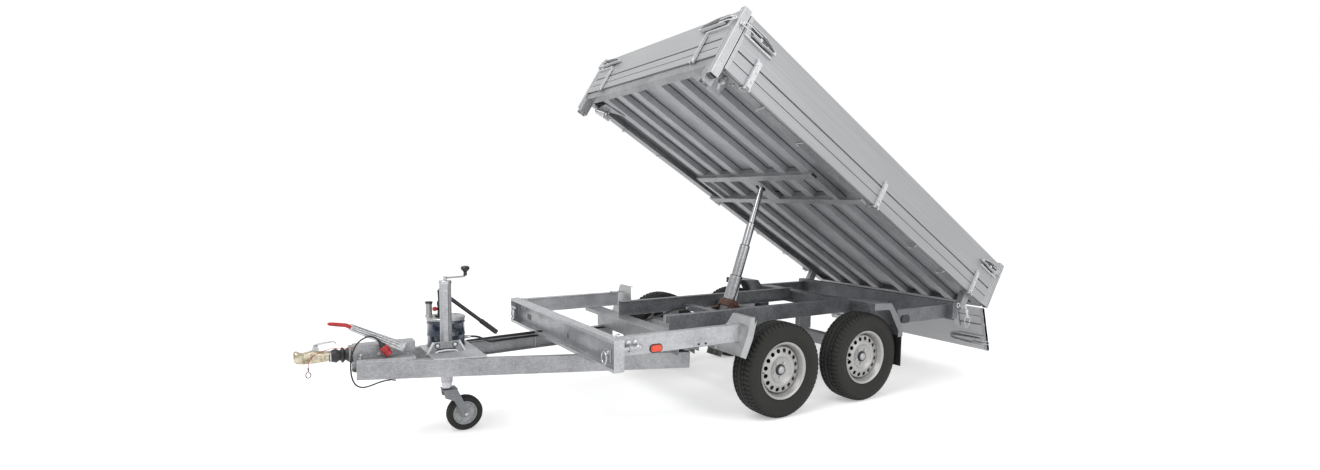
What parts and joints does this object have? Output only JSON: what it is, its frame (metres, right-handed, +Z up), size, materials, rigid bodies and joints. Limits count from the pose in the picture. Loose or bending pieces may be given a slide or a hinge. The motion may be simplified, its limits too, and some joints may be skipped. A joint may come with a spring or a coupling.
{
  "type": "tandem axle tipping utility trailer",
  "caption": "Utility trailer with a tandem axle, V drawbar and aluminium drop-side bed, shown tipped rearward on its telescopic cylinder with the tailgate hanging open",
  "frame": {"origin": "On the ground, under the middle of the outline", "axes": "+X forward to the coupling, +Y left, +Z up"},
  "size_m": [5.1528, 1.912, 2.6066],
  "materials": {
    "galvanised_steel": "hot-dip galvanised",
    "anodised_aluminium": "anodised extrusion",
    "wheel_silver": "silver paint",
    "tyre": "moulded rubber",
    "jockey_tyre": "solid rubber",
    "blue_paint": "navy paint",
    "red_brown_primer": "oxide primer",
    "ground_steel": "ground and chromed",
    "yellow_zinc": "yellow zinc plate",
    "zinc_plate": "zinc plate",
    "red_plastic": "moulded",
    "black_rubber": "matt"
  },
  "bodies": {
    "chassis": {"breakaway_cable": "red_plastic", "breakaway_hook": "zinc_plate", "cable_plug": "black_rubber", "coupling_head": "yellow_zinc", "cylinder_cradle": "red_brown_primer", "cylinder_support": "ground_steel", "electric_cable": "black_rubber", "front_axle": "galvanised_steel", "front_bridge": "galvanised_steel", "front_crossmember": "galvanised_steel", "front_left_mudguard": "galvanised_steel", "front_right_mudguard": "galvanised_steel", "hand_pump": "blue_paint", "handbrake_lever": "galvanised_steel", "hydraulic_hose": "black_rubber", "jockey_crank": "galvanised_steel", "jockey_tube": "galvanised_steel", "left_drawbar_rail": "galvanised_steel", "left_front_rail": "galvanised_steel", "left_inner_rail": "galvanised_steel", "left_mud_flap": "black_rubber", "left_rear_rail": "galvanised_steel", "overrun_housing": "galvanised_steel", "pump_lever": "black_rubber", "rear_axle": "galvanised_steel", "rear_bridge": "galvanised_steel", "rear_crossmember": "galvanised_steel", "rear_left_mudguard": "galvanised_steel", "rear_right_mudguard": "galvanised_steel", "right_drawbar_rail": "galvanised_steel", "right_front_rail": "galvanised_steel", "right_inner_rail": "galvanised_steel", "right_mud_flap": "black_rubber", "right_rear_rail": "galvanised_steel"},
    "bed": {"bed_floor": "galvanised_steel", "bed_frame": "galvanised_steel", "front_left_post": "galvanised_steel", "front_right_post": "galvanised_steel", "rear_left_post": "galvanised_steel", "rear_right_post": "galvanised_steel"},
    "front_board": {"front_board": "anodised_aluminium"},
    "left_board": {"left_board": "anodised_aluminium"},
    "right_board": {"right_board": "anodised_aluminium"},
    "tailgate": {"tailgate": "anodised_aluminium"},
    "jockey_leg": {"jockey_leg": "galvanised_steel"},
    "jockey_fork": {"jockey_fork": "zinc_plate"},
    "jockey_wheel": {"jockey_wheel": "jockey_tyre"},
    "cylinder_barrel": {"cylinder_barrel": "red_brown_primer"},
    "cylinder_stage_1": {"cylinder_stage_1": "ground_steel"},
    "cylinder_stage_2": {"cylinder_stage_2": "ground_steel"},
    "cylinder_stage_3": {"cylinder_stage_3": "ground_steel"},
    "cylinder_rod": {"cylinder_rod": "ground_steel"},
    "front_left_wheel": {"front_left_wheel": "wheel_silver", "front_left_tyre": "tyre"},
    "front_right_wheel": {"front_right_wheel": "wheel_silver", "front_right_tyre": "tyre"},
    "rear_left_wheel": {"rear_left_wheel": "wheel_silver", "rear_left_tyre": "tyre"},
    "rear_right_wheel": {"rear_right_wheel": "wheel_silver", "rear_right_tyre": "tyre"}
  },
  "joints": [
    {"name": "bed_tip", "type": "hinge", "parent": "chassis", "child": "bed", "pos_m": [-2.0925, 0, 0.613], "axis": [0, -1, 0], "range_deg": [-31, 14]},
    {"name": "tailgate_swing", "type": "hinge", "parent": "bed", "child": "tailgate", "pos_m": [-2.37031, 0, 0.58607], "axis": [0, 1, 0], "range_deg": [0, 133.2]},
    {"name": "front_board_drop", "type": "hinge", "parent": "bed", "child": "front_board", "pos_m": [0.38784, 0, 2.30983], "axis": [0, 1, 0], "range_deg": [0, 170]},
    {"name": "left_board_drop", "type": "hinge", "parent": "bed", "child": "left_board", "pos_m": [-0.97827, 0.946, 1.42249], "axis": [-0.8572, 0, -0.515], "range_deg": [0, 170]},
    {"name": "right_board_drop", "type": "hinge", "parent": "bed", "child": "right_board", "pos_m": [-0.97827, -0.946, 1.42249], "axis": [0.8572, 0, 0.515], "range_deg": [0, 170]},
    {"name": "front_left_wheel_spin", "type": "hinge", "parent": "chassis", "child": "front_left_wheel", "pos_m": [-0.253, 0.776, 0.325], "axis": [0, 1, 0], "continuous": true},
    {"name": "front_right_wheel_spin", "type": "hinge", "parent": "chassis", "child": "front_right_wheel", "pos_m": [-0.253, -0.776, 0.325], "axis": [0, 1, 0], "continuous": true},
    {"name": "rear_left_wheel_spin", "type": "hinge", "parent": "chassis", "child": "rear_left_wheel", "pos_m": [-1.038, 0.776, 0.325], "axis": [0, 1, 0], "continuous": true},
    {"name": "rear_right_wheel_spin", "type": "hinge", "parent": "chassis", "child": "rear_right_wheel", "pos_m": [-1.038, -0.776, 0.325], "axis": [0, 1, 0], "continuous": true},
    {"name": "jockey_height", "type": "slide", "parent": "chassis", "child": "jockey_leg", "axis": [0, 0, 1], "range_m": [-0.15, 0.03]},
    {"name": "jockey_swivel", "type": "hinge", "parent": "jockey_leg", "child": "jockey_fork", "pos_m": [1.7445, 0, 0.27], "axis": [0, 0, 1], "continuous": true},
    {"name": "jockey_wheel_spin", "type": "hinge", "parent": "jockey_fork", "child": "jockey_wheel", "pos_m": [1.6405, 0, 0.11], "axis": [0, 1, 0], "continuous": true},
    {"name": "cylinder_lean", "type": "hinge", "parent": "chassis", "child": "cylinder_barrel", "pos_m": [-0.4195, 0, 0.649], "axis": [0, -1, 0], "range_deg": [-30, 20]},
    {"name": "stage_1_slide", "type": "slide", "parent": "cylinder_barrel", "child": "cylinder_stage_1", "axis": [-0.3184, 0, 0.948], "range_m": [-0.1897, 0.0863]},
    {"name": "stage_2_slide", "type": "slide", "parent": "cylinder_stage_1", "child": "cylinder_stage_2", "axis": [-0.3184, 0, 0.948], "range_m": [-0.2499, 0.1133]},
    {"name": "stage_3_slide", "type": "slide", "parent": "cylinder_stage_2", "child": "cylinder_stage_3", "axis": [-0.3184, 0, 0.948], "range_m": [-0.1836, 0.0836]},
    {"name": "rod_slide", "type": "slide", "parent": "cylinder_stage_3", "child": "cylinder_rod", "axis": [-0.3184, 0, 0.948], "range_m": [-0.2921, 0.1323]}
  ],
  "couplings": [
    {"joint": "cylinder_lean", "follows": "bed_tip", "ratio": 0.5},
    {"joint": "stage_1_slide", "follows": "bed_tip", "m_per_rad": 0.33498},
    {"joint": "stage_2_slide", "follows": "bed_tip", "m_per_rad": 0.44239},
    {"joint": "stage_3_slide", "follows": "bed_tip", "m_per_rad": 0.32405},
    {"joint": "rod_slide", "follows": "bed_tip", "m_per_rad": 0.51775}
  ]
}
